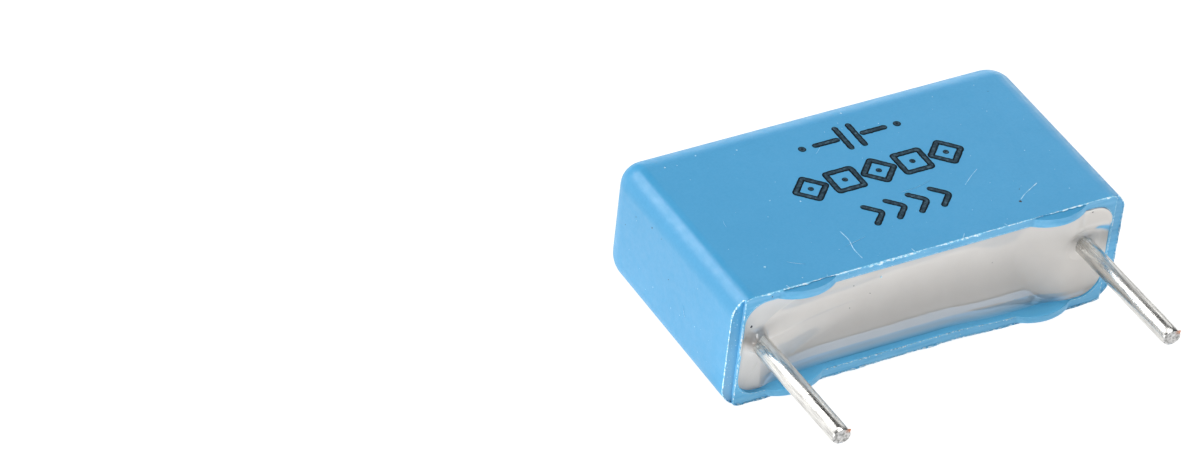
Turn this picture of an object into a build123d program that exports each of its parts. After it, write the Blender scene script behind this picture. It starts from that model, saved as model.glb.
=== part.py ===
from build123d import *
import os

# Film capacitor in a moulded box, lying on one of its two large sides. X runs along the box, Z through
# its thickness and Y along the leads: the mouth of the case faces -Y and its closed end +Y.
# All lengths are in millimetres.

# Leads
lead_pitch = 15.0
lead_diameter = 0.8
lead_length = 5.6            # free length beyond the feet
lead_offset = 0.25           # axis above the middle of the thickness
lead_tip_chamfer = 0.06
lead_round_depth = 0.05      # from the rim to the end of the round stretch
lead_taper = 0.6             # from the round stretch to the flattened tail
lead_tail_length = 5.35
lead_tail_thickness = 0.66
lead_bite = 0.08             # tail pressed into the end spray by the weld

# Case
case_height = 9.9            # rim to closed face, without the feet
case_thickness = 5.4
side_wall = 0.42             # the two large walls
end_wall = 0.6
closed_wall = 0.6
lead_end_gap = 0.5           # resin between a lead and the end wall
side_edge_radius = 0.95      # the four edges along the leads
closed_edge_radius = 1.35    # the four edges round the closed face
cavity_corner_radius = 0.95
cavity_floor_radius = 0.5

# Rim of the case
end_land_width = 0.5         # outer strip of the rim at each end, a step below the rest
end_land_drop = 0.14
foot_height = 0.42
foot_length = 2.6            # chord of the foot where it leaves the rim
foot_inset = 0.1             # outer face of a foot behind the face of the wall
foot_from_end = 3.25

# Free surface of the resin, as depths below the rim
resin_end_depth = 0.25       # the two flat ends, round the leads
trough_wall_depth = 0.45     # where the trough meets the large walls
trough_depth = 0.9           # middle of the trough
trough_from_end = 2.05       # from the end of the case to the edge of the trough
trough_end_run = 4.0         # length of the rise at each end of the trough
collar_size = 0.22           # resin drawn up round each lead

# Winding inside
spray_thickness = 0.45
winding_side_gap = 0.3       # resin between the winding and each large wall
winding_floor_gap = 0.4
winding_cover = 2.0          # from the rim down to the winding

case_length = lead_pitch + lead_diameter + 2 * (lead_end_gap + end_wall)
cavity_length = case_length - 2 * end_wall
cavity_thickness = case_thickness - 2 * side_wall
cavity_depth = case_height - closed_wall

# The origin lies under the middle of the box that holds the whole part, leads included.
total_length = case_height + foot_height + lead_length
rim_y = total_length / 2 - case_height
middle_z = case_thickness / 2
lead_z = middle_z + lead_offset

# Plane of the rim, seen from the leads: its local axes are X and Z, and its normal is -Y.
rim = Plane(origin=(0, rim_y, middle_z), x_dir=(1, 0, 0), z_dir=(0, -1, 0))

os.makedirs("parts", exist_ok=True)


# Case: a deep cup with stepped end lands and four stand-off feet on its large walls.
with BuildPart() as case:
    with BuildSketch(rim):
        Rectangle(case_length, case_thickness)
    extrude(amount=-case_height)
    fillet(case.faces().sort_by(Axis.Y)[-1].edges(), closed_edge_radius)
    fillet(case.edges().filter_by(Axis.Y), side_edge_radius)

    with BuildSketch(rim):
        RectangleRounded(cavity_length, cavity_thickness, cavity_corner_radius)
    extrude(amount=-cavity_depth, mode=Mode.SUBTRACT)
    cavity_floor = case.faces().filter_by(Axis.Y).sort_by(Axis.Y)[-2]
    fillet(cavity_floor.edges(), cavity_floor_radius)

    with BuildSketch(rim):
        with Locations((-case_length / 2, 0), (case_length / 2, 0)):
            Rectangle(2 * end_land_width, case_thickness)
    extrude(amount=-end_land_drop, mode=Mode.SUBTRACT)

    for inner_z in (side_wall, case_thickness - foot_inset):
        with BuildSketch(Plane.XY.offset(inner_z)):
            for foot_x in (foot_from_end - case_length / 2, case_length / 2 - foot_from_end):
                with BuildLine():
                    rim_line = Line(
                        (foot_x - foot_length / 2, rim_y),
                        (foot_x + foot_length / 2, rim_y),
                    )
                    ThreePointArc(rim_line @ 1, (foot_x, rim_y - foot_height), rim_line @ 0)
                make_face()
        extrude(amount=foot_inset - side_wall)
case.part.label = "case"
export_step(case.part, "parts/case.step")


# Film winding: a flattened roll of film, its axis along X.
winding_height = cavity_depth - winding_floor_gap - winding_cover
winding_thickness = cavity_thickness - 2 * winding_side_gap
winding_y = rim_y + winding_cover + winding_height / 2
spray_face_x = lead_pitch / 2 - lead_tail_thickness / 2 + lead_bite
film_half_width = spray_face_x - spray_thickness
roll = Plane(origin=(0, winding_y, middle_z), x_dir=(0, 1, 0), z_dir=(1, 0, 0))

with BuildPart() as film_winding:
    with BuildSketch(roll):
        SlotOverall(winding_height, winding_thickness)
    extrude(amount=film_half_width, both=True)
film_winding.part.label = "film_winding"
export_step(film_winding.part, "parts/film_winding.step")


# Leads: round wire with a trimmed tip. The tail inside the resin is pressed flat, which keeps the area of
# its section, and is welded to the sprayed metal on the end of the winding.
tail_radii = (lead_tail_thickness / 2, (lead_diameter / 2) ** 2 / (lead_tail_thickness / 2))
tail_depth = lead_round_depth + lead_taper
leads = {}
for side, direction in (("left", -1), ("right", 1)):
    lead_centre = (direction * lead_pitch / 2, lead_offset)
    with BuildPart() as lead:
        with BuildSketch(rim.offset(-tail_depth)):
            with Locations(lead_centre):
                Ellipse(*tail_radii)
        extrude(amount=-lead_tail_length)
        with BuildSketch(rim.offset(-tail_depth)):
            with Locations(lead_centre):
                Ellipse(*tail_radii)
        with BuildSketch(rim.offset(-lead_round_depth)):
            with Locations(lead_centre):
                Circle(lead_diameter / 2)
        loft()
        with BuildSketch(rim.offset(-lead_round_depth)):
            with Locations(lead_centre):
                Circle(lead_diameter / 2)
        extrude(amount=lead_round_depth + foot_height + lead_length)
        lead_tip = lead.faces().sort_by(Axis.Y)[0]
        chamfer(lead_tip.edges(), lead_tip_chamfer)
    leads[side] = lead.part
    leads[side].label = f"lead_{side}"
    export_step(leads[side], f"parts/lead_{side}.step")


# End sprays: sprayed metal on the ends of the roll, each with the groove of its welded lead.
sprays = {}
for side, direction in (("left", -1), ("right", 1)):
    with BuildPart() as end_spray:
        with BuildSketch(roll.offset(direction * film_half_width)):
            SlotOverall(winding_height, winding_thickness)
        extrude(amount=direction * spray_thickness)
        add(leads[side], mode=Mode.SUBTRACT)
    sprays[side] = end_spray.part
    sprays[side].label = f"end_spray_{side}"
    export_step(sprays[side], f"parts/end_spray_{side}.step")


# Cutter for the hollow of the resin: a shallow trough whose floor is part of a cylinder along X, and
# whose two ends rise in an arc to the flat resin round the leads.
trough_half = case_length / 2 - trough_from_end
floor_half = trough_half - trough_end_run
floor_y = rim_y + trough_depth
resin_y = rim_y + resin_end_depth
trough_sag = trough_depth - trough_wall_depth
trough_radius = ((cavity_thickness / 2) ** 2 + trough_sag**2) / (2 * trough_sag)
trough_axis = Plane(origin=(0, floor_y - trough_radius, middle_z), x_dir=(0, 1, 0), z_dir=(1, 0, 0))

with BuildPart() as trough:
    with BuildSketch(Plane.XY):
        with BuildLine():
            Line((-floor_half, floor_y), (floor_half, floor_y))
            TangentArc((floor_half, floor_y), (trough_half, resin_y), tangent=(1, 0))
            Line((trough_half, resin_y), (trough_half, rim_y))
            Line((trough_half, rim_y), (-trough_half, rim_y))
            Line((-trough_half, rim_y), (-trough_half, resin_y))
            TangentArc((-floor_half, floor_y), (-trough_half, resin_y), tangent=(-1, 0))
        make_face()
    extrude(amount=case_thickness)
    with BuildSketch(trough_axis):
        Circle(trough_radius)
    extrude(amount=trough_half, both=True, mode=Mode.INTERSECT)


# Potting resin: fills the cavity round the winding, with collars drawn up the leads.
with BuildPart() as potting_resin:
    with BuildSketch(rim.offset(-resin_end_depth)):
        RectangleRounded(cavity_length, cavity_thickness, cavity_corner_radius)
    extrude(amount=resin_end_depth - cavity_depth)
    resin_floor = potting_resin.faces().sort_by(Axis.Y)[-1]
    fillet(resin_floor.edges(), cavity_floor_radius)

    add(trough.part, mode=Mode.SUBTRACT)

    for lead_x in (-lead_pitch / 2, lead_pitch / 2):
        foot_of_collar = (lead_x + lead_diameter / 2 + collar_size, resin_y)
        top_of_collar = (lead_x + lead_diameter / 2, resin_y - collar_size)
        with BuildSketch(Plane.XY.offset(lead_z)):
            with BuildLine():
                Line((lead_x, resin_y), foot_of_collar)
                TangentArc(foot_of_collar, top_of_collar, tangent=(-1, 0))
                Polyline(top_of_collar, (lead_x, resin_y - collar_size), (lead_x, resin_y))
            make_face()
        revolve(axis=Axis((lead_x, 0, lead_z), (0, 1, 0)))

    add(film_winding.part, mode=Mode.SUBTRACT)
    for side in ("left", "right"):
        add(sprays[side], mode=Mode.SUBTRACT)
        add(leads[side], mode=Mode.SUBTRACT)
potting_resin.part.label = "potting_resin"
export_step(potting_resin.part, "parts/potting_resin.step")
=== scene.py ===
"""Looks of a box film capacitor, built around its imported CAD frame.

Lengths are in metres. Only the print, and lists of places on a face, are in millimetres.
"""
import random
from math import cos, exp, hypot, pi, radians, sin, sqrt

import bmesh
import bpy
from mathutils import Matrix, Vector, noise


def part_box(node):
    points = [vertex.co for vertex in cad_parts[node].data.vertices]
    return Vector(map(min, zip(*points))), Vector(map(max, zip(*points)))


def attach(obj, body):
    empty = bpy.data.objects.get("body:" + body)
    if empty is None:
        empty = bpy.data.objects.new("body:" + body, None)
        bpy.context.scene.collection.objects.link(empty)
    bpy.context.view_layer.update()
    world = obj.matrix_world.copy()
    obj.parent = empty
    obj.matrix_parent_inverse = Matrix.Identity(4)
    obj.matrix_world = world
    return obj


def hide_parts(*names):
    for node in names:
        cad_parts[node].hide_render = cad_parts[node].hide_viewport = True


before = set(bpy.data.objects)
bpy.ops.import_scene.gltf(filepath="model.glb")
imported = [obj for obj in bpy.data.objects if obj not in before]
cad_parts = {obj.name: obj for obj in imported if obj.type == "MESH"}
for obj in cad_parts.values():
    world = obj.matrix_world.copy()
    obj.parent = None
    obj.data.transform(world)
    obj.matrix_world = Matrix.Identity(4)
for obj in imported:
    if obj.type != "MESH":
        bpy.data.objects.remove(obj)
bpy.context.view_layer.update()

MM = 0.001
BODY = "root"
random.seed(7)

# Places that the frame gives
case_low, case_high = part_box("case")
resin_low, resin_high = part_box("potting_resin")
right_low, right_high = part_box("lead_right")

# Sizes of the CAD part that a box does not give
FOOT_HEIGHT = 0.42 * MM
FOOT_INSET = 0.1 * MM
END_LAND_WIDTH = 0.5 * MM
END_LAND_DROP = 0.14 * MM
SIDE_EDGE_RADIUS = 0.95 * MM
CAVITY_CORNER_RADIUS = 0.95 * MM
LOWER_WALL = 0.42 * MM
RESIN_END_DEPTH = 0.25 * MM
TROUGH_WALL_DEPTH = 0.45 * MM
TROUGH_DEPTH = 1.06 * MM
TROUGH_FROM_END = 2.05 * MM
LEAD_RADIUS = 0.4 * MM
LEAD_ROUND_DEPTH = 0.35 * MM
LEAD_TAPER = 0.3 * MM
LEAD_TAIL_HALF = 0.33 * MM

RIM_Y = case_low.y + FOOT_HEIGHT
HALF_LENGTH = case_high.x
THICKNESS = case_high.z
MIDDLE_Z = THICKNESS / 2
LEAD_X = (right_low.x + right_high.x) / 2
LEAD_Z = (right_low.z + right_high.z) / 2

# The shell is drawn in by this much, so that ink and dust on it stay inside the CAD box.
SKIN = 0.012 * MM

# How far, along x and z, each wire sits off its place where it leaves the resin
LEFT_LEAN = (-0.08 * MM, -0.055 * MM)
RIGHT_LEAN = (-0.04 * MM, -0.03 * MM)

# Where the cutters leave a burr round the tip of a wire, and how wide it is
BURR_ANGLE = radians(38)
BURR_WIDTH = radians(9)


# ---- small helpers


def put(name, data):
    """A new object in the scene."""
    thing = bpy.data.objects.new(name, data)
    bpy.context.scene.collection.objects.link(thing)
    return thing


def add_mesh(name, vertices, faces, material, smooth=True):
    """Makes a mesh piece that rides on the part."""
    mesh = bpy.data.meshes.new(name)
    mesh.from_pydata([tuple(v) for v in vertices], [], faces)
    mesh.validate()
    mesh.materials.append(material)
    for polygon in mesh.polygons:
        polygon.use_smooth = smooth
    piece = put(name, mesh)
    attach(piece, BODY)
    return piece


def store(piece, name, values):
    """Keeps one number for each point of a piece, for its material to read."""
    attribute = piece.data.attributes.new(name, "FLOAT", "POINT")
    attribute.data.foreach_set("value", values)


def ring_faces(starts, row, closed=False, flip=False):
    """Quads between neighbouring rings of `row` points; starts: the index of each ring's first point."""
    faces = []
    for here, there in zip(starts, [*starts[1:], starts[0]] if closed else starts[1:]):
        for k in range(row):
            m = (k + 1) % row
            corners = (here + k, there + k, there + m, here + m)
            faces.append((corners[0], *reversed(corners[1:])) if flip else corners)
    return faces


def cap(start, row, flip=False):
    """The face that closes one ring."""
    face = range(start, start + row)
    return tuple(reversed(face) if flip else face)


def smoothstep(low, high, value):
    """0 below `low`, 1 above `high`, and smooth between; the other way round where `low` is the greater."""
    t = min(max((value - low) / (high - low), 0.0), 1.0)
    return t * t * (3 - 2 * t)


def bell(value, centre, width):
    """1 at the centre, falling away to 0 on both sides."""
    return exp(-(((value - centre) / width) ** 2))


def wobble(x, y, z, scale):
    """Smooth noise from -1 to 1 with features about `scale` metres wide."""
    return noise.noise(Vector((x, y, z)) / scale)


# ---- materials


class Nodes:
    """Short names for the shader nodes that the materials use."""

    def __init__(self, name):
        self.material = bpy.data.materials.new(name)
        self.material.use_nodes = True
        self.tree = self.material.node_tree
        self.bsdf = self.tree.nodes["Principled BSDF"]
        self.coordinates = self.new("ShaderNodeTexCoord").outputs["Object"]

    def new(self, kind):
        return self.tree.nodes.new(kind)

    def link(self, source, target):
        self.tree.links.new(source, target)

    def set(self, **values):
        """Plain values for the shader's own sockets."""
        for name, value in values.items():
            self.bsdf.inputs[name.replace("_", " ")].default_value = value

    def mapped(self, stretch):
        """Coordinates that draw a noise out along an axis whose stretch is below 1."""
        node = self.new("ShaderNodeMapping")
        node.inputs["Scale"].default_value = stretch
        self.link(self.coordinates, node.inputs["Vector"])
        return node.outputs["Vector"]

    def noise(self, size, detail=3.0, roughness=0.55, vector=None):
        """Noise whose features are about `size` metres wide."""
        node = self.new("ShaderNodeTexNoise")
        node.inputs["Scale"].default_value = 1 / size
        node.inputs["Detail"].default_value = detail
        node.inputs["Roughness"].default_value = roughness
        self.link(vector or self.coordinates, node.inputs["Vector"])
        return node.outputs["Fac"]

    def ramp(self, value, *stops):
        """stops: (position, colour) for each."""
        node = self.new("ShaderNodeValToRGB")
        elements = node.color_ramp.elements
        while len(elements) < len(stops):
            elements.new(0.5)
        for element, (position, colour) in zip(elements, stops):
            element.position = position
            element.color = (*colour, 1.0)
        self.link(value, node.inputs["Fac"])
        return node.outputs["Color"]

    def range(self, value, low, high, to_low=0.0, to_high=1.0):
        node = self.new("ShaderNodeMapRange")
        numbers = {"From Min": low, "From Max": high, "To Min": to_low, "To Max": to_high}
        for name, number in numbers.items():
            node.inputs[name].default_value = number
        self.link(value, node.inputs["Value"])
        return node.outputs["Result"]

    def mix(self, factor, first, second):
        """Mixes two colours; each may be a socket or a plain colour."""
        node = self.new("ShaderNodeMix")
        node.data_type = "RGBA"
        for source, target in ((factor, node.inputs[0]), (first, node.inputs[6]), (second, node.inputs[7])):
            if isinstance(source, bpy.types.NodeSocket):
                self.link(source, target)
            elif isinstance(source, tuple):
                target.default_value = (*source, 1.0)
            else:
                target.default_value = source
        return node.outputs[2]

    def bump(self, height, distance, strength=1.0, normal=None):
        node = self.new("ShaderNodeBump")
        node.inputs["Distance"].default_value = distance
        node.inputs["Strength"].default_value = strength
        self.link(height, node.inputs["Height"])
        if normal is not None:
            self.link(normal, node.inputs["Normal"])
        return node.outputs["Normal"]

    def attribute(self, name):
        node = self.new("ShaderNodeAttribute")
        node.attribute_name = name
        return node.outputs["Fac"]

    def parts(self, vector):
        """The three coordinates of a vector."""
        node = self.new("ShaderNodeSeparateXYZ")
        self.link(vector, node.inputs[0])
        return node.outputs

    def place(self, index):
        """One coordinate of the point; the third runs from 0 to 1 over the part's thickness."""
        value = self.parts(self.coordinates)[index]
        return value if index < 2 else self.range(value, 0.0, THICKNESS)

    def facing(self, index, low, high):
        """0 to 1 as one coordinate of the direction that the surface faces goes from `low` to `high`."""
        direction = self.new("ShaderNodeTexCoord").outputs["Normal"]
        return self.range(self.parts(direction)[index], low, high)

    def both(self, first, second):
        """The product of two shares."""
        node = self.new("ShaderNodeMath")
        node.operation = "MULTIPLY"
        self.link(first, node.inputs[0])
        self.link(second, node.inputs[1])
        return node.outputs[0]

    def colour(self, socket):
        self.link(socket, self.bsdf.inputs["Base Color"])

    def roughness(self, socket):
        self.link(socket, self.bsdf.inputs["Roughness"])

    def normal(self, socket):
        self.link(socket, self.bsdf.inputs["Normal"])


def blue_plastic():
    """Satin moulded plastic, faintly cloudy; paler on the rim as a painted sheen, painted lighter low down
    than high up; on the left end land a painted shade, pale low down and darker high up; a pale painted
    riser; and paler inside the lower wall, painted light where it lies in shade.
    """
    n = Nodes("blue_plastic")
    n.set(IOR=1.5, Specular_IOR_Level=0.85)
    cloud = n.noise(2.2 * MM, detail=4.0)
    grain = n.noise(0.11 * MM, detail=2.0)
    base = n.ramp(cloud, (0.3, (0.024, 0.288, 0.555)), (0.7, (0.036, 0.312, 0.590)))
    pale = n.ramp(grain, (0.35, (0.022, 0.280, 0.545)), (0.75, (0.044, 0.330, 0.605)))
    skin = n.mix(0.4, base, pale)
    streaks = n.noise(0.16 * MM, detail=4.0, vector=n.mapped(stretch=(0.12, 1, 1)))
    # painted light: the rim is painted lighter low down and darker high up
    lower_rim_painted_lit = n.ramp(streaks, (0.3, (0.050, 0.430, 0.790)), (0.7, (0.150, 0.560, 0.900)))
    upper_rim_painted_shaded = n.ramp(streaks, (0.3, (0.042, 0.345, 0.640)), (0.7, (0.120, 0.455, 0.745)))
    rim = n.mix(n.range(n.place(2), 0.3, 0.8), lower_rim_painted_lit, upper_rim_painted_shaded)
    # painted shade: the left end land is pale low down and darker high up
    land = n.ramp(n.place(2), (0.0, (0.175, 0.440, 0.690)), (1.0, (0.028, 0.315, 0.600)))
    on_painted_land = n.range(n.place(0), -HALF_LENGTH + 0.52 * MM, -HALF_LENGTH + 0.48 * MM)
    # painted sheen: faces turned towards the leads take the paler streaked rim colour
    sheen_on_lead_side = n.facing(1, -0.5, -0.85)
    outside = n.mix(sheen_on_lead_side, skin, n.mix(on_painted_land, rim, land))
    # painted light: the riser between the left end land and the rim is painted pale
    off_end = n.range(n.place(0), -HALF_LENGTH + 0.30 * MM, -HALF_LENGTH + 0.34 * MM)
    on_painted_riser = n.both(n.facing(0, -0.90, -0.97), off_end)
    outside = n.mix(on_painted_riser, outside, (0.200, 0.560, 0.840))
    # painted light: the inner faces of the lower wall are painted paler where they lie in shade
    on_painted_lower_wall = n.both(n.facing(2, 0.3, 0.7), n.range(n.place(2), 0.2, 0.18))
    n.colour(n.mix(on_painted_lower_wall, outside, (0.105, 0.560, 0.960)))
    n.roughness(n.range(n.noise(0.35 * MM, detail=3.0), 0.3, 0.7, 0.38, 0.50))
    n.normal(n.bump(grain, 0.004 * MM, 0.5, n.bump(n.noise(1.4 * MM), 0.02 * MM, 0.35)))
    return n.material


def flash_plastic():
    """The same plastic where it is thin and torn: paler, with white nicks."""
    n = Nodes("flash_plastic")
    n.set(IOR=1.5)
    tears = n.noise(0.14 * MM, detail=3.0, roughness=0.7)
    stops = (0.38, (0.10, 0.44, 0.72)), (0.5, (0.34, 0.70, 0.90)), (0.62, (0.90, 0.97, 1.0))
    n.colour(n.ramp(tears, *stops))
    n.roughness(n.range(n.noise(0.2 * MM), 0.3, 0.7, 0.25, 0.45))
    return n.material


def cast_resin():
    """Glossy warm off-white resin. A thin film of it on the walls lets the blue through, painted lighter
    where the wall shades it. A painted grey-brown shade darkens it round the left lead.
    """
    n = Nodes("cast_resin")
    n.set(IOR=1.55)
    cloud = n.noise(1.8 * MM, detail=3.0)
    base = n.ramp(cloud, (0.3, (0.714, 0.684, 0.650)), (0.7, (0.762, 0.730, 0.693)))
    # the blue wall seen through the film, in a colour painted lighter where the wall shades it
    clean = n.mix(n.attribute("film"), base, (0.120, 0.500, 0.840))
    # painted shade: the grey-brown that darkens the resin round the left lead and, a little, over the trough
    n.colour(n.mix(n.attribute("painted_shade"), clean, (0.300, 0.270, 0.245)))
    n.roughness(n.range(n.noise(0.5 * MM), 0.3, 0.7, 0.015, 0.04))
    n.normal(n.bump(n.noise(1.1 * MM, detail=2.0), 0.003 * MM, 0.2))
    return n.material


def tinned_wire():
    """Bright tin, drawn and scuffed along the wire, with bare copper at the trimmed edge."""
    n = Nodes("tinned_wire")
    n.set(Metallic=1.0)
    along = n.mapped(stretch=(1, 0.08, 1))
    streaks = n.noise(0.06 * MM, detail=4.0, roughness=0.65, vector=along)
    tin = n.ramp(streaks, (0.30, (0.42, 0.41, 0.40)), (0.5, (0.71, 0.70, 0.67)), (0.72, (0.85, 0.84, 0.80)))
    cut = n.ramp(n.noise(0.12 * MM, detail=3.0), (0.38, (0.26, 0.26, 0.25)), (0.6, (0.64, 0.63, 0.62)))
    metal = n.mix(n.attribute("cut"), tin, cut)
    n.colour(n.mix(n.attribute("copper"), metal, (0.62, 0.20, 0.07)))
    n.roughness(n.range(n.noise(0.16 * MM, vector=along), 0.35, 0.65, 0.18, 0.36))
    dents = n.bump(n.noise(0.13 * MM, detail=4.0, roughness=0.65), 0.015 * MM, 0.5)
    n.normal(n.bump(streaks, 0.010 * MM, 0.6, dents))
    return n.material


def ink():
    """Stamped dark ink, darkest where it is squeezed out at the edge of a stroke."""
    n = Nodes("ink")
    n.set(IOR=1.45, Specular_IOR_Level=0.07)
    mottle = n.noise(0.13 * MM, detail=4.0, roughness=0.7)
    stops = (0.35, (0.012, 0.028, 0.042)), (0.55, (0.034, 0.068, 0.096)), (0.70, (0.09, 0.16, 0.21))
    body = n.ramp(mottle, *stops)
    n.colour(n.mix(n.attribute("rim"), body, (0.001, 0.003, 0.006)))
    n.roughness(n.range(mottle, 0.3, 0.7, 0.45, 0.65))
    n.normal(n.bump(mottle, 0.01 * MM, 0.5))
    return n.material


def pale_mark():
    """Plastic raised and whitened by a scratch, or a grain of dust."""
    n = Nodes("pale_mark")
    n.set(Roughness=0.6)
    n.colour(n.ramp(n.noise(0.3 * MM), (0.35, (0.22, 0.52, 0.74)), (0.65, (0.60, 0.80, 0.92))))
    return n.material


def dark_speck():
    """A grain of dark dirt."""
    n = Nodes("dark_speck")
    n.set(Roughness=0.5)
    n.colour(n.ramp(n.noise(0.1 * MM), (0.3, (0.012, 0.015, 0.02)), (0.7, (0.05, 0.06, 0.08))))
    return n.material


def film_metal(name, first, second, roughness):
    """Plain metallised look of the sealed inner pieces."""
    n = Nodes(name)
    n.set(Metallic=0.8)
    n.colour(n.ramp(n.noise(0.4 * MM), (0.3, first), (0.7, second)))
    n.roughness(n.range(n.noise(0.2 * MM), 0.3, 0.7, roughness, roughness + 0.15))
    return n.material


PLASTIC = blue_plastic()
FLASH = flash_plastic()
RESIN = cast_resin()
TIN = tinned_wire()
INK = ink()
PALE = pale_mark()
DARK = dark_speck()


# ---- case


def lower_wall_bow(x):
    """How far the mouth of the lower wall has sunk inwards as the case cooled."""
    return 0.17 * MM * smoothstep(-7.0 * MM, -4.2 * MM, x) * smoothstep(4.0 * MM, 1.5 * MM, x)


def bow_share(z):
    """How much of that bow reaches a height in the wall: most at its inner side."""
    return 0.75 + 0.3 * min(z / LOWER_WALL, 1.0)


def bow_lower_wall(bm):
    """Bends the mouth of the lower wall inwards, most at the rim, after cutting its faces finer there."""
    top = 0.9 * MM  # everything below this belongs to the lower wall
    cut_x = (-7, -6.4, -5.8, -5.2, -4.6, -4, -2, 0, 1.5, 2, 2.5, 3, 3.5, 4)
    cut_y = (-1.2, -0.4, 0.4, 1.2, 2)
    cuts = [(Vector((x * MM, 0, 0)), Vector((1, 0, 0))) for x in cut_x]
    cuts += [(Vector((0, y * MM, 0)), Vector((0, 1, 0))) for y in cut_y]
    for point, normal in cuts:
        low = [v for v in bm.verts if v.co.z < top]
        for group in (bm.edges, bm.faces):
            low += [part for part in group if all(v.co.z < top for v in part.verts)]
        bmesh.ops.bisect_plane(bm, geom=low, plane_co=point, plane_no=normal, dist=1e-7)
    for vertex in bm.verts:
        x, y, z = vertex.co
        if z < top and abs(x) < 7.5 * MM:
            vertex.co.z += bow_share(z) * lower_wall_bow(x) * smoothstep(2.6 * MM, RIM_Y, y)


def case_shell():
    """The CAD case with its sharp moulded edges eased, drawn in by SKIN on its outer faces."""
    bm = bmesh.new()
    bm.from_mesh(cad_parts["case"].data)
    bmesh.ops.remove_doubles(bm, verts=bm.verts, dist=0.0005 * MM)
    height = case_high.y - RIM_Y
    for vertex in bm.verts:
        vertex.co.x *= 1 - SKIN / HALF_LENGTH
        vertex.co.z = SKIN + vertex.co.z * (1 - 2 * SKIN / THICKNESS)
        if vertex.co.y > RIM_Y:
            vertex.co.y -= SKIN * (vertex.co.y - RIM_Y) / height
    for vertex in bm.verts:
        from_foot_face = abs(vertex.co.z - (THICKNESS - FOOT_INSET))
        if vertex.co.y < RIM_Y + 0.001 * MM and from_foot_face < 0.05 * MM:
            vertex.co.z = THICKNESS - 0.045 * MM  # the upper feet sit just below the top face
    bmesh.ops.dissolve_limit(bm, angle_limit=radians(0.2), verts=bm.verts, edges=bm.edges)
    bow_lower_wall(bm)
    sharp = [e for e in bm.edges if len(e.link_faces) == 2 and e.calc_face_angle() > radians(40)]
    rounding = {"offset": 0.03 * MM, "segments": 2, "profile": 0.5, "clamp_overlap": True}
    bmesh.ops.bevel(bm, geom=sharp, affect="EDGES", **rounding)
    mesh = bpy.data.meshes.new("case_shell")
    bm.to_mesh(mesh)
    bm.free()
    mesh.materials.append(PLASTIC)
    for polygon in mesh.polygons:
        polygon.use_smooth = True
    mesh.set_sharp_from_angle(angle=radians(50))
    shell = put("case_shell", mesh)
    weighted = shell.modifiers.new("weighted", "WEIGHTED_NORMAL")
    weighted.keep_sharp = True
    weighted.weight = 80
    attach(shell, BODY)
    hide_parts("case")


def round_slot(half_x, half_z, radius, step):
    """Points round a rounded rectangle about the middle of the rim: (x, z, outward x, outward z)."""
    points = []
    corners = ((1, -1, -90), (1, 1, 0), (-1, 1, 90), (-1, -1, 180))

    def centre(index):
        side_x, side_z, _ = corners[index]
        return Vector((side_x * (half_x - radius), MIDDLE_Z + side_z * (half_z - radius)))

    for index, (_, _, start) in enumerate(corners):
        steps = max(4, round(radius * pi / 2 / step))
        for i in range(steps):
            angle = radians(start + 90 * i / steps)
            out = Vector((cos(angle), sin(angle)))
            points.append((*(centre(index) + radius * out), *out))
        angle = radians(start + 90)
        out = Vector((cos(angle), sin(angle)))
        here = centre(index) + radius * out
        there = centre((index + 1) % 4) + radius * out
        count = round((there - here).length / step)
        for i in range(count):
            points.append((*here.lerp(there, i / count), *out))
    return points


def rim_level(x):
    """Where the rim lies along y: the end lands are a step deeper."""
    if abs(x) > HALF_LENGTH - END_LAND_WIDTH:
        return RIM_Y + END_LAND_DROP
    return RIM_Y


class Ridges:
    """Thin torn ridges of moulding flash."""

    def __init__(self):
        self.vertices, self.faces = [], []

    def add(self, points, width, height, closed=False):
        """points: (x, z, side x, side z). The ridge reaches from each of them to `width` inward of it."""
        start = len(self.vertices)
        profile = ((0, False), (0.1, True), (0.4, True), (1, False))
        for x, z, side_x, side_z in points:
            if side_z < -0.5:
                z += bow_share(z) * lower_wall_bow(x)
            root = rim_level(x) + 0.02 * MM
            crest = rim_level(x) - height(x, z, side_z)
            for inward, high in profile:
                y = crest if high else root
                self.vertices.append((x - side_x * inward * width, y, z - side_z * inward * width))
        row = len(profile)
        starts = range(start, len(self.vertices), row)
        self.faces += ring_faces(starts, row, closed, flip=True)
        if not closed:
            self.faces += [cap(start, row, flip=True), cap(starts[-1], row)]


def outer_flash(x, z, side_z):
    """Height of the flash on the outer edge: torn above, wavy below."""
    ragged = abs(wobble(x, 0, z, 0.35 * MM)) + 0.6 * abs(wobble(x, 5, z, 0.10 * MM))
    broken = smoothstep(-0.45, -0.05, wobble(x, 8, z, 1.1 * MM))
    if side_z > 0.5:
        over_foot = smoothstep(5.85 * MM, 5.65 * MM, abs(x)) * smoothstep(3.0 * MM, 3.2 * MM, abs(x))
        torn = (1.0 + 0.8 * bell(x, -2.6 * MM, 1.2 * MM)) * (1 - 0.55 * over_foot)
        return (0.010 + torn * (0.025 + 0.11 * ragged) * broken) * MM
    if side_z < -0.5:
        return (0.015 + 0.11 * abs(wobble(x, 2, z, 1.1 * MM)) + 0.01 * ragged) * MM
    return (0.03 + 0.06 * ragged) * MM


def inner_flash(x, z, side_z):
    """Height of the flash on the inner edge: specks between the lower feet, hardly any elsewhere."""
    if side_z > -0.5 or abs(x) > 5.2 * MM:
        return 0.002 * MM
    return 0.05 * MM * smoothstep(-0.05, 0.35, wobble(x, 4, z, 0.09 * MM)) + 0.003 * MM


def step_flash(x, z, _side_z):
    """Height of the flash on the steps of the end lands: hardly any on the right one."""
    return (0.035 + 0.04 * abs(wobble(x, 6, z, 0.15 * MM))) * MM if x < 0 else 0.004 * MM


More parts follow.
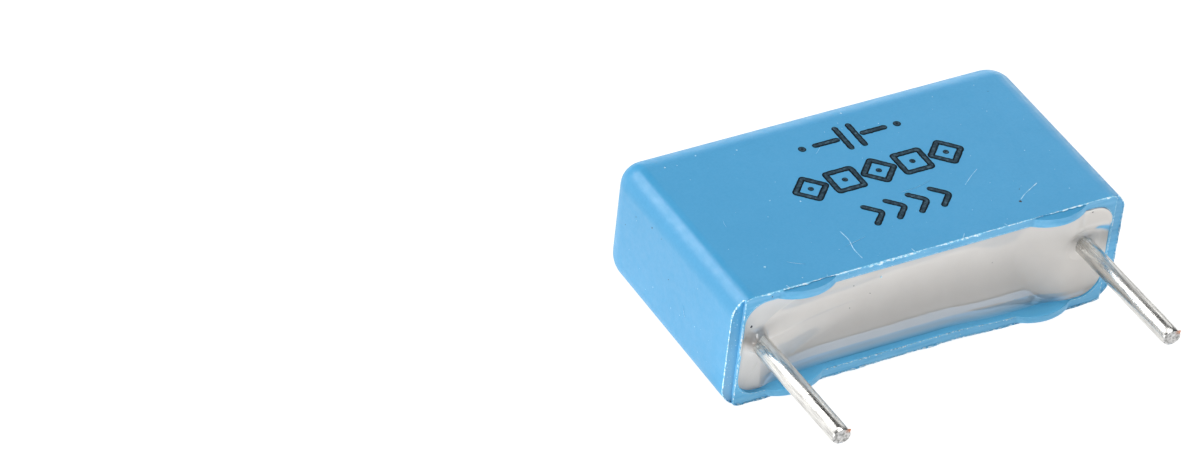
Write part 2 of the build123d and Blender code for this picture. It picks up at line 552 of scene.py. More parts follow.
def rim_flash():
    """Flash along both edges of the rim and along the step of each end land."""
    ridges = Ridges()
    step = 0.045 * MM
    outer = round_slot(HALF_LENGTH - SKIN, MIDDLE_Z - SKIN, SIDE_EDGE_RADIUS, step)
    ridges.add(outer, 0.052 * MM, outer_flash, closed=True)
    out = 0.04 * MM  # onto the rim, from the edge of the cavity
    inner = round_slot(resin_high.x + out, MIDDLE_Z - resin_low.z + out, CAVITY_CORNER_RADIUS, step)
    ridges.add(inner, 0.035 * MM, inner_flash, closed=True)
    low, high, spans = 0.22, 5.18, 90  # in millimetres along z
    for sign in (-1, 1):
        x = sign * (HALF_LENGTH - END_LAND_WIDTH - 0.001 * MM)
        zs = [low * MM + (high - low) * MM * i / spans for i in range(spans + 1)]
        ridges.add([(x, z, sign, 0.0) for z in zs], 0.055 * MM, step_flash)
    flash = add_mesh("rim_flash", ridges.vertices, ridges.faces, FLASH, smooth=False)


# ---- resin


def wall_distance(x, z):
    """Distance from a point inside the cavity to its wall."""
    radius = CAVITY_CORNER_RADIUS
    half_x = resin_high.x - radius
    half_z = (resin_high.z - resin_low.z) / 2 - radius
    dx = abs(x) - half_x
    dz = abs(z - MIDDLE_Z) - half_z
    outside = hypot(max(dx, 0.0), max(dz, 0.0)) + min(max(dx, dz), 0.0)
    return max(radius - outside, 0.0)


def from_lead(dx, dz):
    """Distance from the skin of a lead, and 0 to 1 as the place lies to its left or to its right."""
    reach = hypot(dx, dz)
    side = (0.92 * dx + 0.39 * dz) / max(reach, 0.01 * MM)
    return max(reach - LEAD_RADIUS, 0.0), smoothstep(-0.2, 0.8, side)


def crease(x, z):
    """A fine ridge that the setting resin left below the left lead."""
    line = -7.88 * MM + 0.50 * MM * smoothstep(0.7 * MM, 1.9 * MM, z)
    height = 0.024 * MM * bell(x, line, 0.04 * MM)
    return height * smoothstep(0.5 * MM, 0.9 * MM, z) * smoothstep(2.1 * MM, 1.6 * MM, z)


def trough_edge(z):
    """Where the sunken part begins at the left end: a line that swings inward towards the upper wall."""
    up = max(z - LEAD_Z, 0.0) / (1.45 * MM)
    down = max(LEAD_Z - z, 0.0) / (2.3 * MM)
    return -LEAD_X + 0.15 * MM + 1.2 * MM * min(up, 1.1) ** 3 + 0.15 * MM * down**2


def resin_depth(x, z):
    """Depth of the resin's free surface below the rim."""
    across = (z - MIDDLE_Z) / ((resin_high.z - resin_low.z) / 2)
    trough = TROUGH_DEPTH - (TROUGH_DEPTH - TROUGH_WALL_DEPTH) * across**2
    wall = wall_distance(x, z)
    # near the lower wall the sunken part reaches closer to both ends
    near = bell(wall, 0.0, 1.3 * MM) if z < MIDDLE_Z else 0.0
    if x < 0:
        # a crisp edge at the left end, then an easy slope down to the floor
        run = (5.8 - 5.1 * near) * MM
        t = min(max((x - trough_edge(z)) / run, 0.0), 1.0)
        fall = 1 - (1 - t) ** 1.7
    else:
        edge = HALF_LENGTH - TROUGH_FROM_END
        fall = smoothstep(edge, edge - (2.4 - 0.8 * near) * MM, x)
    depth = RESIN_END_DEPTH + fall * (trough - RESIN_END_DEPTH)
    # drawn up at the walls, least where the surface is lowest beside the left lead
    if z < MIDDLE_Z:
        low = bell(x, -5.3 * MM, 1.0 * MM)
        depth -= (0.07 + 0.11 * fall * (1 - 0.6 * low)) * MM * exp(-wall / (0.2 * MM))
        depth -= 0.12 * MM * smoothstep(6.0 * MM, 7.2 * MM, x) * exp(-wall / (0.15 * MM))
    else:
        depth -= (0.08 + 0.15 * fall) * MM * exp(-wall / (0.15 * MM))
    # drawn up high round the left lead, on the side away from it most
    gap, right = from_lead(x + LEAD_X - LEFT_LEAN[0], z - LEAD_Z - LEFT_LEAN[1])
    depth += 0.10 * MM * right * bell(gap, 0.0, 0.45 * MM)
    depth -= (0.42 - 0.04 * right) * MM * exp(-gap / (0.075 * MM))
    # sunken round the right lead, under a bank that hangs over it
    gap, right = from_lead(x - LEAD_X - RIGHT_LEAN[0], z - LEAD_Z - RIGHT_LEAN[1])
    bank = smoothstep(0.35 * MM, 1.25 * MM, z - LEAD_Z) * smoothstep(6.3 * MM, 7.2 * MM, x)
    sunken = hypot(x - LEAD_X - 0.05 * MM, z - LEAD_Z - 0.25 * MM)
    depth += 0.13 * MM * bell(sunken, 0.0, 0.75 * MM) - 0.22 * MM * bank
    depth -= (0.05 + 0.10 * right) * MM * exp(-gap / ((0.06 + 0.09 * right) * MM))
    # a faint ring round it, left by the resin as it set
    depth += 0.016 * MM * bell(gap, 0.34 * MM, 0.05 * MM)
    depth -= crease(x, z)
    depth += 0.006 * MM * wobble(x, 3, z, 1.6 * MM)
    # level with the rim at the right end, and smeared over it up to the step at the left end
    from_end = max(resin_high.x - abs(x), 0.0)
    level = exp(-from_end / (0.10 * MM)) * bell(z, LEAD_Z, 1.7 * MM)
    if x < 0:
        return depth - level * (depth + 0.012 * MM)
    return depth - 0.9 * level * depth


def left_end(x, z):
    """1 on the flat left end of the resin, 0 beyond the edge of the trough."""
    return smoothstep(trough_edge(z) + 0.02 * MM, trough_edge(z) - 0.04 * MM, x)


def painted_resin_shade(x, z):
    """Painted shade on the resin: most beside the foot of the left lead, where the lead shades it, and least
    just beyond the trough's edge, which is a painted highlight.
    """
    gap, _ = from_lead(x + LEAD_X - LEFT_LEAN[0], z - LEAD_Z - LEFT_LEAN[1])
    from_patch = hypot(x + 8.08 * MM, z - 3.10 * MM)
    # painted shadow: a grey patch on the left flank of the resin collar at the left lead
    patch = bell(from_patch, 0.0, 0.24 * MM) * (0.75 + 0.35 * wobble(x, 11, z, 0.12 * MM))
    # painted shade: a little darker on the flat left end and in the trough, lightest just past the trough's
    # edge as a painted highlight
    even = 0.05 * left_end(x, z) + 0.07 * smoothstep(0.1 * MM, 1.2 * MM, x - trough_edge(z))
    # painted shade: a dark ring hugging the foot of the left lead
    return min(0.8 * patch + 0.55 * exp(-gap / (0.05 * MM)) + even, 1.0)


def resin_film_and_painted_shade(x, z):
    """1 where the resin is only a film that lets the blue wall through, and a little at the left end, where
    it is painted shade.
    """
    # painted shade: the flat left end is tinted a little darker
    faint = 0.08 * left_end(x, z)
    if z > MIDDLE_Z:
        if x < 7.6 * MM:
            return faint
        notch = bell(z, 3.74 * MM - 0.1 * (x - 8 * MM), 0.07 * MM + 0.14 * max(x - 7.8 * MM, 0.0))
        return min(1.4 * notch, 1.0) * smoothstep(7.78 * MM, 7.95 * MM, x)
    middle = smoothstep(-7.3 * MM, -6.4 * MM, x) * smoothstep(7.3 * MM, 6.3 * MM, x)
    edge = 0.305 * MM + 0.012 * MM * wobble(x, 7, 0, 1.2 * MM)
    wall = wall_distance(x, z)
    shallow = 0.40 * smoothstep(edge + 0.03 * MM, edge - 0.01 * MM, wall)
    shallow += 0.06 * smoothstep(0.5 * MM, edge, wall)
    return max(middle * min(shallow + 0.54 * bell(wall, 0.0, 0.125 * MM), 1.0), faint)


def smear(z):
    """How much further the resin reaches at the left end, where it was wiped over the rim."""
    ragged = 0.85 + 0.25 * wobble(0, 9, z, 0.3 * MM)
    return 0.11 * ragged * smoothstep(1.2 * MM, 1.9 * MM, z) * smoothstep(4.2 * MM, 3.6 * MM, z)


def potting_surface():
    """The cast resin: a closed solid whose top is the real meniscus."""
    bite = 0.01 * MM  # into the wall, so that the two surfaces cross cleanly
    half_x = resin_high.x + bite
    half_z = (resin_high.z - resin_low.z) / 2 + bite
    radius = CAVITY_CORNER_RADIUS + bite
    rows, columns = 100, 280
    vertices, faces, film, painted_shade = [], [], [], []
    for i in range(rows + 1):
        share = 2 * i / rows - 1
        across = 0.6 * sin(pi / 2 * share) + 0.4 * share  # closer rows near the two walls
        z = MIDDLE_Z + half_z * across
        into_corner = max(abs(z - MIDDLE_Z) - (half_z - radius), 0.0)
        reach = half_x - radius + sqrt(max(radius**2 - into_corner**2, 0.0))
        for j in range(columns + 1):
            s = 2 * j / columns - 1
            x = reach * sin(pi / 2 * s) * 0.35 + reach * s * 0.65  # closer columns near the two ends
            if x < -7.6 * MM:
                x += (x + 7.6 * MM) * smear(z)
            lift = lower_wall_bow(x) * (1 - share) / 2
            vertices.append((x, RIM_Y + resin_depth(x, z), z + lift))
            film.append(resin_film_and_painted_shade(x, z))
            painted_shade.append(painted_resin_shade(x, z))
    stride = columns + 1
    for i in range(rows):
        for j in range(columns):
            a = i * stride + j
            faces.append((a, a + 1, a + stride + 1, a + stride))
    border = list(range(stride))
    border += [i * stride + columns for i in range(1, rows + 1)]
    border += [rows * stride + j for j in range(columns - 1, -1, -1)]
    border += [i * stride for i in range(rows - 1, 0, -1)]
    first = len(vertices)
    for index in border:
        x, _, z = vertices[index]
        vertices.append((x, resin_high.y, z))
        film.append(0.0)
        painted_shade.append(0.0)
    count = len(border)
    for k in range(count):
        m = (k + 1) % count
        faces.append((border[m], border[k], first + k, first + m))
    faces.append(cap(first, count))
    resin = add_mesh("potting_surface", vertices, faces, RESIN)
    store(resin, "film", film)
    store(resin, "painted_shade", painted_shade)
    resin.data.set_sharp_from_angle(angle=radians(60))
    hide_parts("potting_resin")


# ---- leads


def trimmed_lead(node, seed, scrape, lean):
    """Tinned wire: faintly uneven, trimmed by cutters at its tip, pressed flat inside the resin."""
    low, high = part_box(node)
    centre_x = (low.x + high.x) / 2
    tip = low.y
    ring = 72
    round_end = RIM_Y + LEAD_ROUND_DEPTH
    fine = 0.2 * MM  # the length of the tip where the rings lie closer
    stations = [tip + 0.02 * MM * k for k in range(10)]
    stations += [tip + fine + (round_end - tip - fine) * k / 110 for k in range(111)]
    stations += [round_end + LEAD_TAPER * k / 6 for k in range(1, 7)]
    stations.append(high.y)
    tail_wide = LEAD_RADIUS**2 / LEAD_TAIL_HALF
    vertices, copper, cut = [], [], []
    for y in stations:
        flat = smoothstep(round_end, round_end + LEAD_TAPER, y)
        from_tip = y - tip
        for k in range(ring):
            angle = 2 * pi * k / ring
            ux, uz = cos(angle), sin(angle)
            dent = 0.006 * MM * (1 + wobble(ux * 0.6 * MM, y * 0.25, uz * 0.6 * MM + seed, 0.35 * MM))
            # scraped by the fixture that held it while the resin set
            scraped = scrape * smoothstep(RIM_Y - 1.1 * MM, RIM_Y - 0.3 * MM, y) * smoothstep(-0.2, 0.6, -ux)
            dent += 0.045 * MM * scraped * abs(wobble(ux * 0.4 * MM, y * 1.3, uz * 0.4 * MM, 0.17 * MM))
            # cutters squeeze the tip into a slight roof and leave a burr on one side
            squeeze = exp(-from_tip / (0.13 * MM)) * (0.02 + 0.05 * uz**2) * MM
            burr = 0.10 * MM * bell(angle, BURR_ANGLE, BURR_WIDTH) * smoothstep(0.07 * MM, 0.0, from_tip)
            radius_x = LEAD_RADIUS + flat * (LEAD_TAIL_HALF - LEAD_RADIUS) - dent - squeeze + burr
            radius_z = LEAD_RADIUS + flat * (tail_wide - LEAD_RADIUS) - dent - squeeze + burr
            slope = 0.05 * MM * max(0.0, 1 - from_tip / (0.3 * MM)) * (1 - ux) / 2
            off = min(from_tip / (RIM_Y - tip), 1.0)
            x = centre_x + radius_x * ux + off * lean[0]
            vertices.append((x, y + slope, LEAD_Z + radius_z * uz + off * lean[1]))
            burr_side = smoothstep(0.93, 0.99, cos(angle - BURR_ANGLE))
            copper.append(burr_side * smoothstep(0.05 * MM, 0.02 * MM, from_tip))
            cut.append(smoothstep(0.05 * MM, 0.0, from_tip))
    starts = range(0, len(vertices), ring)
    faces = ring_faces(starts, ring)
    # tip face: a shallow roof with the line that the two cutting edges leave
    middle = Vector((centre_x, tip, LEAD_Z))
    tip_rings = [0]
    for share in (0.8, 0.6, 0.4, 0.2):
        tip_rings.append(len(vertices))
        for k in range(ring):
            base = Vector(vertices[k])
            point = middle.lerp(base, share)
            ridge = 0.03 * MM * abs(sin(2 * pi * k / ring + 0.5)) * share
            rough = 0.008 * MM * (1 + wobble(point.x, seed, point.z, 0.1 * MM))
            point.y = tip + min(ridge + rough, 0.06 * MM) + (base.y - tip) * share
            vertices.append(tuple(point))
            copper.append(copper[k] * share**4)
            cut.append(1.0)
    faces += ring_faces(tip_rings, ring, flip=True)
    vertices.append((centre_x, tip + 0.012 * MM, LEAD_Z))
    copper.append(0.0)
    cut.append(1.0)
    last = tip_rings[-1]
    faces += [(last + k, last + (k + 1) % ring, len(vertices) - 1) for k in range(ring)]
    faces.append(cap(starts[-1], ring))
    lead = add_mesh(f"{node}_wire", vertices, faces, TIN)
    store(lead, "copper", copper)
    store(lead, "cut", cut)
    lead.data.set_sharp_from_angle(angle=radians(42))
    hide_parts(node)


# ---- print and marks


class Face:
    """A flat face, with two directions to draw in and the way out of it."""

    def __init__(self, origin, right, up):
        self.origin = Vector(origin)
        self.right = Vector(right)
        self.up = Vector(up)
        self.out = self.right.cross(self.up)

    def point(self, u, v, height):
        return self.origin + u * self.right + v * self.up + height * self.out


TOP = Face((0, 0, THICKNESS - SKIN), (1, 0, 0), (0, 1, 0))
BOTTOM = Face((0, 0, SKIN), (-1, 0, 0), (0, 1, 0))
CLOSED = Face((0, case_high.y - SKIN, MIDDLE_Z), (-1, 0, 0), (0, 0, 1))
LEFT_END = Face((-HALF_LENGTH + SKIN, 0, MIDDLE_Z), (0, -1, 0), (0, 0, 1))
RIGHT_END = Face((HALF_LENGTH - SKIN, 0, MIDDLE_Z), (0, 1, 0), (0, 0, 1))
RIM = Face((0, RIM_Y, 0), (1, 0, 0), (0, 0, 1))
LAND = Face((0, RIM_Y + END_LAND_DROP, 0), (1, 0, 0), (0, 0, 1))


def on_resin(x, z):
    """A small face that touches the resin at one place, which is its origin."""
    return Face((x, RIM_Y + resin_depth(x, z), z), (1, 0, 0), (0, 0, 1))


class Marks:
    """Collects strips and grains, which stand about `height` proud of their faces, into one piece."""

    def __init__(self, height):
        self.height = height
        self.vertices, self.faces, self.rim = [], [], []

    def strip(self, face, path, half_width, closed=False, uneven=0.0):
        """A raised strip along a path of (u, v) points; open strips get round caps."""
        points = [Vector(p) for p in path]
        count = len(points)
        reach = [0.0]
        for a, b in zip(points, points[1:]):
            reach.append(reach[-1] + (b - a).length)
        start = len(self.vertices)
        half = ((-1.0, -0.3, 1.0), (-0.84, 1.0, 1.0), (-0.62, 0.9, 0.9), (-0.34, 0.75, 0.0))
        profile = half + tuple((-across, lift, rim) for across, lift, rim in reversed(half))
        for i, point in enumerate(points):
            before = points[i - 1] if i or closed else points[0]
            after = points[(i + 1) % count] if i < count - 1 or closed else points[-1]
            along = (after - before).normalized()
            side = Vector((-along.y, along.x))
            width = half_width
            if not closed:
                near = min(reach[i], reach[-1] - reach[i])
                if near < half_width:
                    width *= sqrt(max(1 - (1 - near / half_width) ** 2, 0.0004))
            width *= 1 + uneven * wobble(point.x, point.y, 2, 0.12 * MM)
            for across, lift, rim in profile:
                u, v = point + side * across * width
                self.vertices.append(face.point(u, v, lift * self.height))
                self.rim.append(rim)
        row = len(profile)
        starts = range(start, len(self.vertices), row)
        self.faces += ring_faces(starts, row, closed)
        if not closed:
            self.faces += [cap(start, row), cap(starts[-1], row, flip=True)]

    def grain(self, face, u, v, size):
        """A small flat irregular grain."""
        start, sides = len(self.vertices), 7
        turn = random.uniform(0, pi)
        for lift, shrink in ((-0.3, 1.0), (0.8, 0.8)):
            for k in range(sides):
                angle = turn + 2 * pi * k / sides
                radius = size * shrink * (0.7 + 0.5 * abs(sin(1.7 * k + turn)))
                along, up = u + radius * cos(angle), v + radius * sin(angle)
                self.vertices.append(face.point(along, up, lift * self.height))
                self.rim.append(0.0)
        self.faces += ring_faces((start, start + sides), sides, flip=True)
        self.faces += [cap(start + sides, sides), cap(start, sides, flip=True)]

    def finish(self, name, material):
        """Makes the piece."""
        piece = add_mesh(name, self.vertices, self.faces, material)
        piece.data.set_sharp_from_angle(angle=radians(70))
        store(piece, "rim", self.rim)


def run(a, b, step):
    """Points about every `step` from one place up to, but without, another."""
    count = max(1, round((b - a).length / step))
    return [a.lerp(b, k / count) for k in range(count)]


def walk(corners, closed=False, step=0.04 * MM, rounding=0.18 * MM):
    """Points every `step` along straight runs between corners in millimetres, with each turn rounded."""
    corners = [Vector(c) * MM for c in corners]
    count = len(corners)
    points = []
    order = range(count) if closed else range(1, count - 1)
    bends = []
    for i in order:
        before, here, after = corners[i - 1], corners[i], corners[(i + 1) % count]
        cut = min(rounding, 0.45 * (here - before).length, 0.45 * (after - here).length)
        enter = here + (before - here).normalized() * cut
        leave = here + (after - here).normalized() * cut
        bends.append((enter, here, leave))
    place = bends[-1][2] if closed else corners[0]
    for enter, here, leave in bends:
        points += run(place, enter, step)
        for k in range(6):
            t = k / 6
            points.append(enter.lerp(here, t).lerp(here.lerp(leave, t), t))
        place = leave
    if not closed:
        points += run(place, corners[-1], step)
        points.append(corners[-1])
    return points


def ring_path(u, v, radius, count):
    """Points round a circle given in millimetres."""
    turns = [2 * pi * k / count for k in range(count)]
    return [Vector((u + radius * cos(t), v + radius * sin(t))) * MM for t in turns]


def capped(corners, half_width):
    """An open stroke with enough points at its two ends for round caps."""
    points = walk(corners)
    fine = [0.0, 0.04, 0.12, 0.25, 0.45, 0.7, 1.0]
    first, last = points[0], points[-1]
    ahead = (points[1] - points[0]).normalized()
    behind = (points[-2] - points[-1]).normalized()
    inner = [p for p in points if (p - first).length > half_width and (p - last).length > half_width]
    start = [first + ahead * half_width * t for t in fine]
    end = [last + behind * half_width * t for t in reversed(fine)]
    return start + inner + end


STROKE = 0.145 * MM  # half the width of a printed stroke
UNEVEN = 0.12


class Glyphs:
    """Generic marks in the style of a stamped print: bars, dots, dotted lozenges and squares, chevrons."""

    def __init__(self, face):
        self.face = face
        self.marks = Marks(0.010 * MM)

    def bar(self, *corners):
        self.marks.strip(self.face, capped(corners, STROKE), STROKE, uneven=UNEVEN)

    def loop(self, *corners):
        path = walk(corners, closed=True, rounding=0.07 * MM)
        self.marks.strip(self.face, path, STROKE, closed=True, uneven=UNEVEN)

    def dot(self, u, v, radius=0.13):
        path = ring_path(u, v, radius / 2, 24)
        self.marks.strip(self.face, path, radius / 2 * MM, closed=True, uneven=0.1)

    def lozenge(self, u, v, half_width, half_height):
        self.loop((u - half_width, v), (u, v - half_height), (u + half_width, v), (u, v + half_height))
        self.dot(u, v)

    def square(self, u, v, half):
        self.loop((u - half, v - half), (u + half, v - half), (u + half, v + half), (u - half, v + half))
        self.dot(u, v)

    def chevron(self, u, v, half_width, half_height):
        self.bar((u - half_width, v - half_height), (u + half_width, v), (u - half_width, v + half_height))


def symbols_top():
    """Three rows: two facing plates with their wires, lozenges and squares by turns, and chevrons."""
    glyphs = Glyphs(TOP)
    v, half = 5.35, 0.78
    glyphs.dot(-1.75, v, 0.17)
    glyphs.bar((-1.28, v), (-0.02, v))
    glyphs.bar((0.14, v - half), (0.14, v + half))
    glyphs.bar((0.76, v - half), (0.76, v + half))
    glyphs.bar((0.92, v), (2.18, v))
    glyphs.dot(2.65, v, 0.17)
    v, half = 3.02, 0.64
    for index in range(5):
        u = -2.72 + index * 1.56
        if index % 2:
            glyphs.square(u, v, half - 0.06)
        else:
            glyphs.lozenge(u, v, half + 0.06, half + 0.06)
    v, half = 0.68, 0.64
    for index in range(4):
        glyphs.chevron(-1.15 + index * 1.02, v, 0.33, half)
    glyphs.marks.finish("print_top", INK)


def symbols_closed():
    """One row on the closed face: lozenges and squares by turns, with a bar between."""
    glyphs = Glyphs(CLOSED)
    for index in range(7):
        u = -3.6 + index * 1.2
        if index % 2:
            glyphs.bar((u, -0.55), (u, 0.55))
        elif index % 4:
            glyphs.square(u, 0.0, 0.52)
        else:
            glyphs.lozenge(u, 0.0, 0.62, 0.62)
    glyphs.marks.finish("print_closed_face", INK)


def between(low, high):
    """A random length; both limits are in millimetres."""
    return random.uniform(low, high) * MM


def on_face(face):
    """A random place on the flat part of a face."""
    rim, back = RIM_Y / MM, case_high.y / MM
    if face in (TOP, BOTTOM):
        return between(-7.9, 7.9), between(rim + 0.2, back - 1.5)
    if face is CLOSED:
        return between(-7.4, 7.4), between(-1.2, 1.2)
    sign = 1 if face is RIGHT_END else -1
    return sign * random.uniform(rim + 0.3, back - 1.6) * MM, between(-1.5, 1.5)


def hairline(u, v, length, angle):
    """Points of a slightly bent scratch."""
    bend = random.uniform(-0.25, 0.25)
    count = max(6, round(length / (0.12 * MM)))
    points = []
    for k in range(count + 1):
        t = k / count
        turn = angle + bend * (t - 0.5)
        reach = length * (t - 0.5)
        points.append(Vector((u + reach * cos(turn), v + reach * sin(turn))))
    return points


def scatter(marks, amounts, smallest, largest):
    """Grains at random places; amounts: (face, how many)."""
    for face, amount in amounts:
        for _ in range(amount):
            marks.grain(face, *on_face(face), between(smallest, largest))


def scratch_marks():
    """Three long scratches on the top, random hairlines all over, and spurs of flash beside the rim."""
    scratches = Marks(0.007 * MM)
    for half_width, corners in (
        (0.016, ((-3.02, 0.28), (-2.96, -0.3), (-3.1, -0.9), (-3.06, -1.5))),
        (0.016, ((4.66, -0.75), (5.0, -0.5), (5.85, -0.08))),
        (0.010, ((3.1, 0.9), (3.7, 1.35), (4.1, 1.6))),
    ):
        scratches.strip(TOP, walk(corners), half_width * MM, uneven=0.5)
    for face, amount in ((TOP, 5), (BOTTOM, 10), (CLOSED, 5), (LEFT_END, 1), (RIGHT_END, 4)):
        for _ in range(amount):
            u, v = on_face(face)
            length = between(0.4, 1.5)
            points = hairline(u, v, length, random.uniform(0, pi))
            scratches.strip(face, points, between(0.003, 0.007), uneven=0.4)
    spurs = (-6.6, 0.16, 0.3), (-4.9, 0.12, -0.5), (-0.95, 0.22, 0.1), (1.25, 0.3, -0.75), (3.3, 0.14, 0.4)
    for x, length, lean in spurs:
        start = Vector((x, RIM_Y / MM + 0.01))
        tip = start + Vector((-sin(lean) * length, cos(lean) * length))
        scratches.strip(TOP, walk((tuple(start), tuple(tip)), step=0.03 * MM), 0.018 * MM, uneven=0.5)
    scratches.finish("scratches", PALE)


def dust_marks():
    """Pale dust on every outer face, the resin, the left end land and the rim."""
    dust = Marks(0.009 * MM)
    scatter(dust, ((TOP, 60), (BOTTOM, 50), (CLOSED, 26), (LEFT_END, 14), (RIGHT_END, 16)), 0.008, 0.026)
    dust.grain(TOP, -6.85 * MM, -0.50 * MM, 0.055 * MM)
    for x, y in ((-5.9, 6.6), (-7.4, 6.4), (-3.5, 2.5), (-4.6, 3.0), (-4.2, 6.3), (0.9, 6.8)):
        dust.grain(TOP, x * MM, y * MM, 0.04 * MM)
    for x, z, size in ((-1.66, 3.63, 0.055), (4.74, 0.75, 0.03), (-5.13, 0.95, 0.04)):
        dust.grain(on_resin(x * MM, z * MM), 0.0, 0.0, size * MM)
    for _ in range(26):
        u, v = between(-8.88, -8.60), between(0.7, 4.7)
        dust.grain(LAND, u, v, between(0.010, 0.028))
    for _ in range(18):
        u, v = between(-7.0, 7.0), random.choice((0.3, 5.22)) * MM
        dust.grain(RIM, u, v, between(0.010, 0.024))
    dust.finish("dust", PALE)


def dark_marks():
    """A few dark specks on the top, the rim, the resin and the ends."""
    specks = Marks(0.009 * MM)
    for face, u, v, size in ((TOP, 4.6, -0.83, 0.07), (RIM, -8.10, 3.91, 0.06), (RIM, -7.32, 5.15, 0.03)):
        specks.grain(face, u * MM, v * MM, size * MM)
    for x, z, size in (
        (-2.95, 3.65, 0.022),
        (-2.0, 2.85, 0.02),
        (-2.9, 2.42, 0.022),
        (3.7, 2.6, 0.018),
        (7.39, 4.81, 0.034),
    ):
        specks.grain(on_resin(x * MM, z * MM), 0.0, 0.0, size * MM)
    scatter(specks, ((TOP, 2), (BOTTOM, 3), (CLOSED, 4), (LEFT_END, 2), (RIGHT_END, 2)), 0.012, 0.025)
    for y, z, size in ((4.38, 4.35, 0.035), (3.64, 4.34, 0.020), (5.60, 3.99, 0.020)):
        specks.grain(LEFT_END, -y * MM, z * MM - MIDDLE_Z, size * MM)
    specks.finish("dark_specks", DARK)


def gate_scar():
    """Where the sprue was torn off the right end: a fine split that runs in from the rim to a pitted oval."""
    scar = Marks(0.011 * MM)
    line = [(RIM_Y / MM + 0.08 + 0.3 * k, 0.05 * sin(1.9 * k)) for k in range(12)]
    scar.strip(RIGHT_END, walk(line, step=0.05 * MM), 0.022 * MM, uneven=0.6)
    for _ in range(90):
        angle, reach = random.uniform(0, 2 * pi), sqrt(random.random())
        u = RIM_Y + 4.1 * MM + 0.85 * MM * reach * cos(angle)
        v = 0.35 * MM * reach * sin(angle) * (1 + 0.25 * sin(3 * angle))
        scar.grain(RIGHT_END, u, v, between(0.03, 0.10))
    scar.finish("gate_scar", PALE)


# ---- setting


def area_light(name, width, height, power):
    """A rectangular light that the camera doesn't see."""
    light = bpy.data.lights.new(name, "AREA")
    light.shape = "RECTANGLE"
    light.size = width
    light.size_y = height
    light.energy = power
    holder = put(name, light)
    holder.visible_camera = False
    return holder


def soft_light(name, azimuth, elevation, width, height, power, sheen=None, only=None):
    """A rectangular light, placed by its azimuth from the lead side and its elevation.

    sheen: the colour of a light that only shows as a reflection.
    only: the one piece that it lights.
    """
    distance = 0.3
    a, e = radians(azimuth), radians(elevation)
    place = distance * Vector((sin(a) * cos(e), -cos(a) * cos(e), sin(e)))
    holder = area_light(name, width, height, power)
    holder.data.color = sheen or (1, 1, 1)
    holder.location = place
    holder.rotation_euler = (place - Vector((0, 0, MIDDLE_Z))).to_track_quat("Z", "Y").to_euler()
    holder.visible_diffuse = sheen is None
    if only:
        lit = bpy.data.collections.new(f"{name}_lit")
        lit.objects.link(bpy.data.objects[only])
        holder.light_linking.receiver_collection = lit


def table_glow(name, x, y, width, depth, power, mirrored=False):
    """A patch of the table, given in millimetres, that glows brighter.

    mirrored: whether it also shows in the glossy pieces.
    """
    holder = area_light(name, width * MM, depth * MM, power)
    holder.location = (x * MM, y * MM, 0.05 * MM)
    holder.rotation_euler = (pi, 0, 0)
    holder.visible_glossy = mirrored


def light_table():
    """White paper that glows evenly, as if lit from below."""
    n = Nodes("floor_paper")
    n.set(Base_Color=(0.12, 0.12, 0.12, 1), Roughness=0.9, Specular_IOR_Level=0.1)
    n.set(Emission_Color=(1, 1, 1, 1), Emission_Strength=0.99)
    mesh = bpy.data.meshes.new("floor")
    half = 3.0
    corners = [(-half, -half, 0), (half, -half, 0), (half, half, 0), (-half, half, 0)]
    mesh.from_pydata(corners, [], [(0, 1, 2, 3)])
    mesh.materials.append(n.material)
    floor = put("floor", mesh)


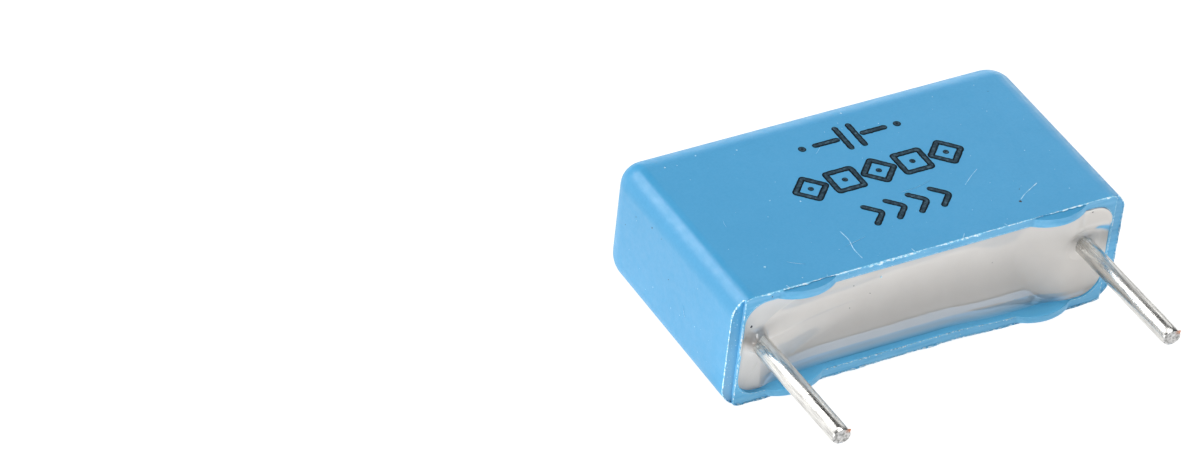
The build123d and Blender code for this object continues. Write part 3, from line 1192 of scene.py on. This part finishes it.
def studio():
    """A light table and large soft lights: bright from above and the back left, dim from the right."""
    light_table()
    world = bpy.data.worlds.new("studio")
    bpy.context.scene.world = world
    world.use_nodes = True
    background = world.node_tree.nodes["Background"].inputs
    background["Color"].default_value = (1, 1, 1, 1)
    background["Strength"].default_value = 0.036

    # azimuth and elevation in degrees, width, height, power
    soft_light("top", 0, 89, 0.16, 0.16, 0.62)
    soft_light("back_left", -146, 39, 0.16, 0.16, 0.44)
    soft_light("back_right", 135, 24, 0.16, 0.16, 0.10)
    soft_light("low_left", -125, 13, 0.30, 0.16, 0.17)
    soft_light("strip_left", -90, 7, 0.16, 0.09, 0.26)
    soft_light("strip_front_right", 33, 14.5, 0.24, 0.13, 0.36, sheen=(0.48, 0.72, 1.0))
    soft_light("strip_front_above", 31, 39, 0.24, 0.13, 0.20, sheen=(0.55, 0.80, 1.0))
    soft_light("strip_back", 139, 5, 0.24, 0.05, 0.15, sheen=(1.0, 1.0, 1.0), only="case_shell")
    # x, y, width and depth in millimetres, power
    table_glow("glow_front", 0, -24, 36, 24, 0.0082)
    table_glow("glow_left", -12.5, -5, 6, 6, 0.00025)
    table_glow("glow_behind_left", -13, 6, 8, 12, 0.00012, mirrored=True)


def camera():
    """The reference view: its direction, its roll about the optical axis, and the point it looks at."""
    azimuth, elevation, roll = (radians(a) for a in (-32.611, 38.300, 6.337))
    aim = Vector((-9.862, 6.720, 2.7)) * MM
    distance = 205.19 * MM
    flat = cos(elevation)
    back = Vector((sin(azimuth) * flat, -cos(azimuth) * flat, sin(elevation)))
    data = bpy.data.cameras.new("camera")
    data.sensor_width = 36
    data.lens = 156.61
    data.clip_start = 0.01
    holder = put("camera", data)
    turn = back.to_track_quat("Z", "Y") @ Matrix.Rotation(roll, 3, "Z").to_quaternion()
    holder.matrix_world = Matrix.LocRotScale(aim + back * distance, turn, (1, 1, 1))
    bpy.context.scene.camera = holder


# ---- the whole scene


camera()
case_shell()
rim_flash()
potting_surface()
trimmed_lead("lead_left", seed=0.0, scrape=1.0, lean=LEFT_LEAN)
trimmed_lead("lead_right", seed=0.01, scrape=0.25, lean=RIGHT_LEAN)
symbols_top()
symbols_closed()
scratch_marks()
dust_marks()
dark_marks()
gate_scar()
film = film_metal("metallised_film", (0.60, 0.62, 0.64), (0.72, 0.73, 0.74), 0.25)
spray = film_metal("sprayed_metal", (0.42, 0.42, 0.43), (0.60, 0.60, 0.60), 0.6)
for node, material in (("film_winding", film), ("end_spray_left", spray), ("end_spray_right", spray)):
    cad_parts[node].material_slots[0].material = material
studio()
bpy.context.scene.view_settings.view_transform = "Standard"
